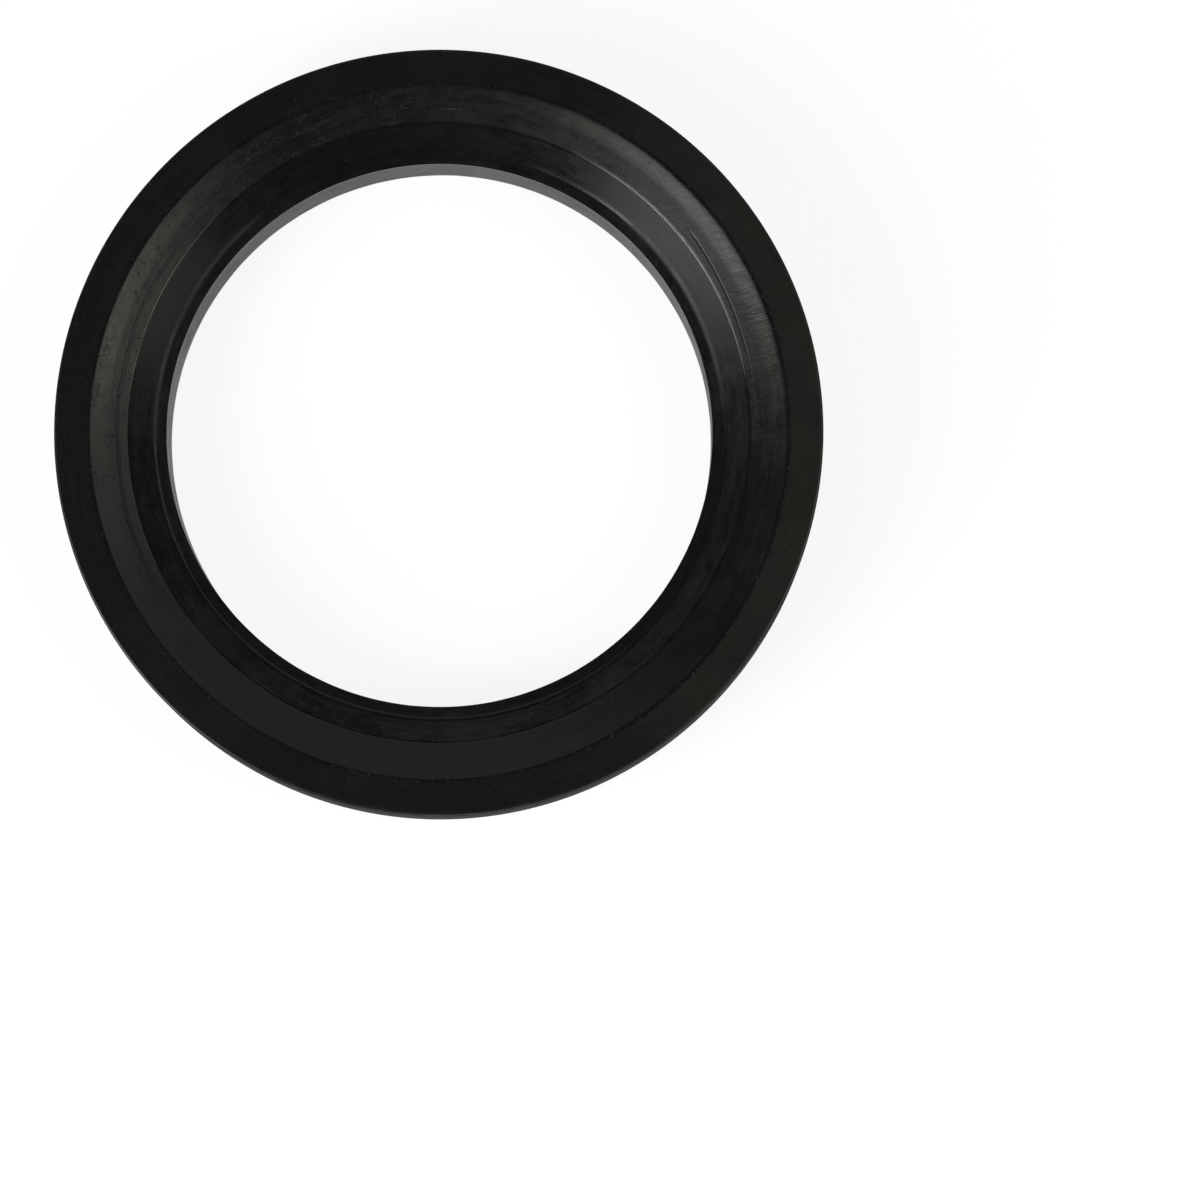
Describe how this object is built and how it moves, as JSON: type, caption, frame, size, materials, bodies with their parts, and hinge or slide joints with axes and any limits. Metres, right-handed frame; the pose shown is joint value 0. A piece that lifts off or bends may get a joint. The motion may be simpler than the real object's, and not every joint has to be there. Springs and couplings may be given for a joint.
{
  "type": "radial shaft seal",
  "caption": "Rubber-covered radial shaft seal with a dished front, a dust lip and a spring-loaded sealing lip that stands out behind its body.",
  "frame": {"origin": "on the axis of the bore, in the plane of the lip head's back face, on which the free seal rests", "axes": "+Z along the bore's axis towards the dished front (air side); -Z is the oil side with the spring; X and Y are any two radial directions"},
  "size_m": [0.1254, 0.1254, 0.021],
  "materials": {
    "nitrile_rubber": "moulded, satin black",
    "case_steel": "pressed, phosphated grey",
    "spring_steel": "bright drawn wire"
  },
  "bodies": {
    "root": {"rubber_body": "nitrile_rubber", "steel_case": "case_steel", "garter_spring": "spring_steel"}
  },
  "joints": []
}
